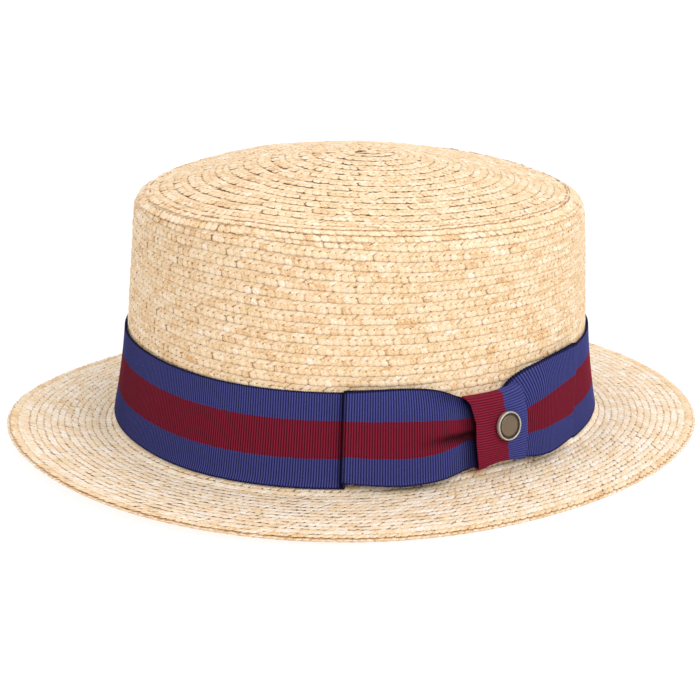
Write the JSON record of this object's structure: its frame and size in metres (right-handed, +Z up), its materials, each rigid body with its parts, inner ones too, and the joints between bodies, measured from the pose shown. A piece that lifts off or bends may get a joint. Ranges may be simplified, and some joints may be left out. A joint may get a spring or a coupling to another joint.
{
  "type": "straw boater hat",
  "caption": "Oval straw boater hat with an upright crown, flat brim, striped ribbon band and a flat side bow pinched by a knot with a plain round stud; worn on the head.",
  "frame": {"origin": "middle of the hat on the surface that the sides of the brim rest on", "axes": "+Z up through the crown, the front of the hat faces -Y, the bow is on +X at the wearer's left"},
  "size_m": [0.2676, 0.3062, 0.119],
  "materials": {
    "straw": "plaited straw braid sewn in overlapping rows, natural colour, satin",
    "ribbon": "ribbed grosgrain ribbon, navy with a burgundy middle stripe",
    "stud": "aged metal, bright rim and dark groove"
  },
  "bodies": {
    "root": {"crown": "straw", "brim": "straw", "band": "ribbon", "bow_front": "ribbon", "bow_back": "ribbon", "knot": "ribbon", "badge": "stud"}
  },
  "joints": []
}
